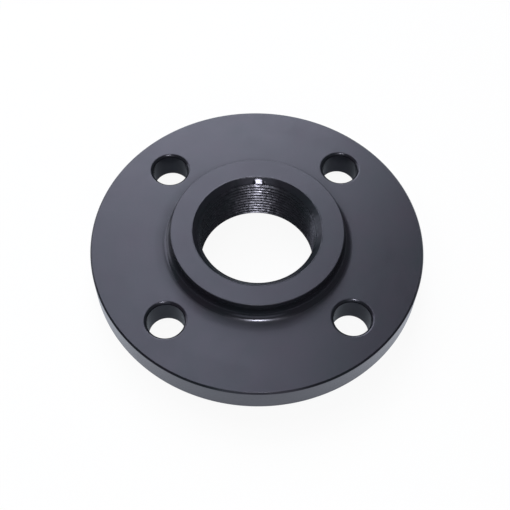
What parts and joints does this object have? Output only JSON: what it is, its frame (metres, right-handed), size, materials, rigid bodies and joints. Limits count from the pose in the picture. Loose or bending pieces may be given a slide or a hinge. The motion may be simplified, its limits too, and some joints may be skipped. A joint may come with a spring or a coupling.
{
  "type": "threaded flange",
  "caption": "Round steel pipe flange with a short raised hub, an internal pipe thread, bolt holes through its disc and a raised sealing face underneath.",
  "frame": {"origin": "centre of the raised sealing face, which is the face that the flange lies on", "axes": "+Z along the pipe, from the raised face towards the hub; the bolt holes lie at 45 degrees to X and Y, astride the centre lines"},
  "size_m": [0.165, 0.165, 0.028],
  "materials": {
    "black_paint": "semi-gloss black paint over machined steel"
  },
  "bodies": {
    "root": {"flange": "black_paint"}
  },
  "joints": []
}
